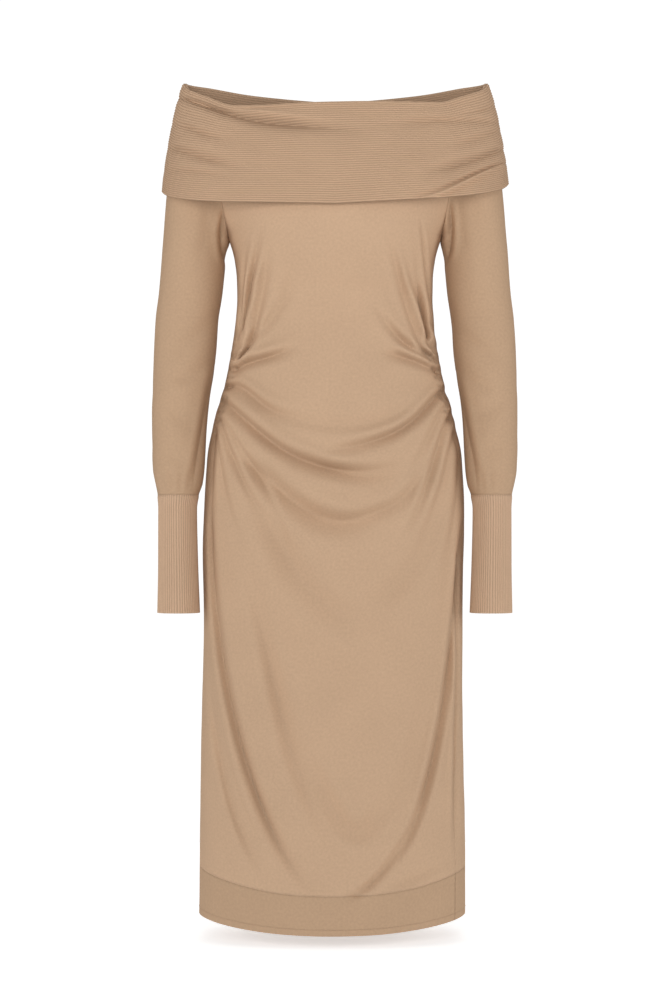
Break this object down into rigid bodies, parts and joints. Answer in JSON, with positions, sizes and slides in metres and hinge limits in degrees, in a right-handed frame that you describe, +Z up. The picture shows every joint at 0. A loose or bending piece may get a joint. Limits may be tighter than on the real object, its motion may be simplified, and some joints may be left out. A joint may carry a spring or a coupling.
{
  "type": "sweater dress",
  "caption": "Off-the-shoulder midi sweater dress in fine knit, with a fold-over ribbed collar, long sleeves with ribbed cuffs, ruched sides and a hem band, in its worn form.",
  "frame": {"origin": "middle of the neckline opening, at the height of its collar's folded top, where the wearer's shoulders hold the dress", "axes": "+Z up toward the wearer's head, -Y the dress's front, +X the wearer's left"},
  "size_m": [0.4728, 0.2659, 1.0917],
  "materials": {
    "front": "matte knit",
    "back": "matte knit",
    "sleeve_left": "matte knit",
    "sleeve_right": "matte knit",
    "cuff_left": "matte knit",
    "cuff_right": "matte knit",
    "collar": "matte knit",
    "hem_band_front": "matte knit",
    "hem_band_back": "matte knit"
  },
  "bodies": {
    "root": {"front": "front", "back": "back", "sleeve_left": "sleeve_left", "sleeve_right": "sleeve_right", "cuff_left": "cuff_left", "cuff_right": "cuff_right", "collar": "collar", "hem_band_front": "hem_band_front", "hem_band_back": "hem_band_back"}
  },
  "joints": []
}
